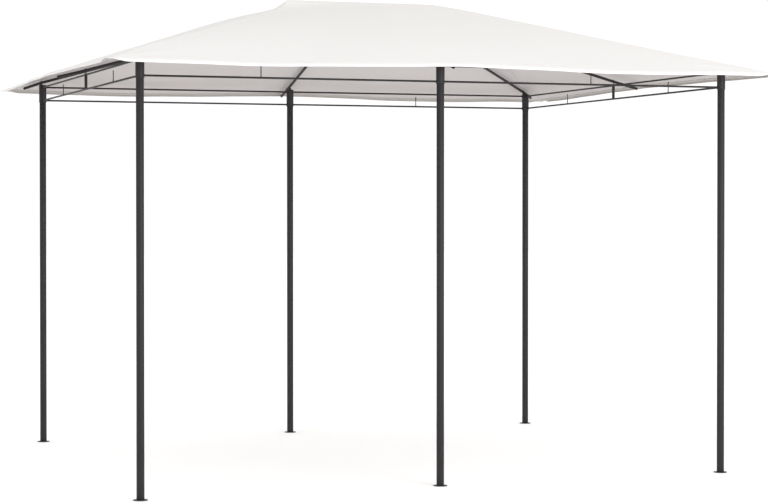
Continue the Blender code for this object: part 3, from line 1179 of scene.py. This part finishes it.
# %% Extrude the hem
HEM_DROP = 0.012
EAR_DROP = 0.001
EAR_LENGTH = 0.070
EAR_STEP = 0.100
EAR_THIN = 0.7
HEM_DIP = 0.0015
DIP_PAST_EAR = 0.02
DIP_WIDTH = 0.03
LAYER_GAP = 0.0016
LAYER_BELOW = 1.6 * LAYER_GAP
HEM_WIDTH = 0.024
STEEP = 0.3
OUTER, INNER, DOUBLED_SHADED = 0, 1, 2


def from_corner(x, y):
    """How far a place on the rim is from the nearest corner, along the eave."""
    return max(HALF_X - abs(x), HALF_Y - abs(y))


def hem_drop(x, y):
    """How far the hem hangs below the eave: least at the corner's ear, most just past it."""
    way = from_corner(x, y)
    past_ear = max(0.0, min(1.0, (way - EAR_LENGTH) / EAR_STEP + 0.5))
    past_ear *= past_ear * (3.0 - 2.0 * past_ear)
    dip = HEM_DIP * math.exp(-(((way - EAR_LENGTH - DIP_PAST_EAR) / DIP_WIDTH) ** 2))
    return EAR_DROP + (HEM_DROP - EAR_DROP + dip) * past_ear


def hem_steps():
    """For each new edge: how far inside the outer line, how far below, and the share of the drop."""
    steps = []
    for turn in (math.radians(angle) for angle in (40.0, 65.0, 90.0)):
        steps.append((FOLD_RADIUS * (1 - math.sin(turn)), FOLD_RADIUS * (1 - math.cos(turn)), 0.0))
    return steps + [
        (0.0, 0.0, 1.0),
        (LAYER_GAP, 0.0, 1.0),
        (LAYER_GAP, FOLD_RADIUS, 0.1),
        (FOLD_RADIUS, LAYER_GAP * 1.8, 0.05),
        (HEM_WIDTH, LAYER_BELOW, 0.0),
    ]


def rim_side(value, half):
    """-1 or 1 where a point lies on the outer line, and 0 elsewhere."""
    return 0 if abs(value) < half - FOLD_RADIUS * 1.5 else (1 if value > 0 else -1)


open_up(cloth, "EDGE", lambda edge: edge.is_boundary)
for inside, below, share in hem_steps():
    bpy.ops.mesh.extrude_edges_move()
    form = bmesh.from_edit_mesh(cloth.data)
    for point in form.verts:
        if point.select:
            for axis, half in enumerate((HALF_X, HALF_Y)):
                side = rim_side(point.co[axis], half)
                if side:
                    point.co[axis] = side * (half - inside)
                point.co[axis] = max(inside - half, min(half - inside, point.co[axis]))
            drop = below + hem_drop(point.co.x, point.co.y) * share
            way = min(1.0, from_corner(point.co.x, point.co.y) / EAR_LENGTH)
            drop *= EAR_THIN + (1.0 - EAR_THIN) * way
            point.co.z = cloth_height(point.co.x, point.co.y) - drop
    bmesh.update_edit_mesh(cloth.data)
bpy.ops.mesh.select_all(action="SELECT")
bpy.ops.mesh.remove_doubles(threshold=SAME_PLACE)
shut()
# The hem's downward and inward faces get the doubled hem finish: the cloth is double there, and its
# darker colour is painted shade.
for face in cloth.data.polygons:
    if face.normal.z < -STEEP:
        face.material_index = DOUBLED_SHADED
    elif abs(face.normal.z) < STEEP:
        inward = face.center.x * face.normal.x + face.center.y * face.normal.y < 0
        face.material_index = DOUBLED_SHADED if inward else OUTER
thicken = cloth.modifiers.new("cloth thickness", "SOLIDIFY")
thicken.thickness = CLOTH_THICKNESS
thicken.offset = -1.0
thicken.material_offset = INNER
apply_all(cloth)
soften(cloth, 50.0)
print("cloth faces with the hem:", len(cloth.data.polygons))

# %% [markdown]
# ## Seams and stitches
# The four hips are seams, so two rows of stitches run along each of them, through the cloth and the
# tape below it. One row holds the hem down. A stitch is a short thread that dives into the cloth at
# both ends. One is modelled, and its few points are then set down again and again, every 10 mm.

# %% Sew the rows of stitches
STITCH_PITCH = 0.010
STITCH_LENGTH = 0.0072
STITCH_DIVE = 1.6
THREAD_RADIUS = 0.00045
SEAM_OFF = 0.008
SEW_IN = 0.0002
SEW_FROM_FOLD = 0.004
SEW_START = 0.02
SEW_END = 0.978
AHEAD = 0.002
LAYER_CLEAR = 0.0001


def hip_place(side, row, share, off):
    """A place in plan on a hip, at a share of the way down it and some way off to its side."""
    top = Vector((side * RIDGE_HALF, 0.0))
    run = Vector((side * HALF_X, row * HALF_Y)) - top
    across = Vector((-run.y, run.x)).normalized()
    return top + run * share + across * off


bpy.ops.object.select_all(action="DESELECT")
bpy.ops.mesh.primitive_cylinder_add(
    vertices=5, radius=THREAD_RADIUS, depth=STITCH_LENGTH, rotation=(0.0, math.pi / 2, 0.0)
)
stitch = bpy.context.object
settle(stitch)
open_up(stitch, "EDGE", lambda edge: edge.calc_length() > STITCH_LENGTH / 2)
bpy.ops.mesh.subdivide(number_cuts=1)
shut()
for point in stitch.data.vertices:
    point.co.z -= STITCH_DIVE * THREAD_RADIUS * (abs(point.co.x) / (STITCH_LENGTH / 2)) ** 2
stitch_points = [point.co.copy() for point in stitch.data.vertices]
stitch_faces = [list(face.vertices) for face in stitch.data.polygons]
bpy.data.objects.remove(stitch)


def row_of_places(start, end):
    """Places in plan, one stitch apart, between two points."""
    run = end - start
    count = int(run.length / STITCH_PITCH)
    return [(start + run * ((step + 0.5) / count), run.normalized()) for step in range(count)]


def sew(name, rows):
    """Set a stitch at every place of every row; each row says how far it lies below the cloth's top."""
    points = []
    faces = []
    for places, below in rows:
        for place, way in places:
            ahead = place + way * AHEAD
            height = cloth_height(place.x, place.y)
            rise = (cloth_height(ahead.x, ahead.y) - height) / AHEAD
            along = Vector((way.x, way.y, rise)).normalized()
            across = UP.cross(along).normalized()
            up = along.cross(across) * (-1.0 if below else 1.0)
            middle = Vector((place.x, place.y, height - below)) + up * SEW_IN
            faces.extend([index + len(points) for index in face] for face in stitch_faces)
            points.extend(middle + along * co.x + across * co.y + up * co.z for co in stitch_points)
    mesh = bpy.data.meshes.new(name)
    mesh.from_pydata(points, [], faces)
    thread = bpy.data.objects.new(name, mesh)
    bpy.context.scene.collection.objects.link(thread)
    open_up(thread)
    bpy.ops.mesh.normals_make_consistent(inside=False)
    shut()
    soften(thread, 60.0)
    return thread


rows = []


def add_rows(start, end, below):
    """One row on top of the cloth and one right under it, on the layer that lies below."""
    places = row_of_places(start, end)
    rows.extend([(places, 0.0), (places, below)])


for side in (-1, 1):
    for row in (-1, 1):
        for off in (-SEAM_OFF, SEAM_OFF):
            ends = [hip_place(side, row, share, off) for share in (SEW_START, SEW_END)]
            add_rows(*ends, TAPE_UNDER + TAPE_THICKNESS)
row_x = HALF_X - (HEM_WIDTH - SEW_FROM_FOLD)
row_y = HALF_Y - (HEM_WIDTH - SEW_FROM_FOLD)
for side in (-1, 1):
    long_row = [Vector((end * (HALF_X - EAR_LENGTH), side * row_y)) for end in (-1, 1)]
    short_row = [Vector((side * row_x, end * (HALF_Y - EAR_LENGTH))) for end in (-1, 1)]
    add_rows(*long_row, LAYER_BELOW + LAYER_CLEAR)
    add_rows(*short_row, LAYER_BELOW + LAYER_CLEAR)
threads = sew("canopy_stitches", rows)
print("stitches:", sum(len(places) for places, below in rows), "faces:", len(threads.data.polygons))

# %% [markdown]
# ## The cloth in the canopy's place
# The sheet is stretched over the ridge bar. It was cut as four pieces with a total of 11.5 square
# metres, hem included. It stands for the canopy solid, and the tapes and the threads ride with it.

tapes.data.materials.append(coat)
threads.data.materials.append(thread_finish)
for piece in (cloth, tapes, threads):
    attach(piece, "root")
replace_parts(cloth, "canopy")
print("sheet declared:", cloth.name)

# %% [markdown]
# ## The size
# The box that the dressed model fills, floor left out, is printed. The dressed model has to
# stay in the box of the solids that it stands for, apart from a little that cloth may stand
# proud.

# %% Print the dressed model's box
low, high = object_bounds()
print("visual box:", [round(value, 4) for value in (*low, *high)])
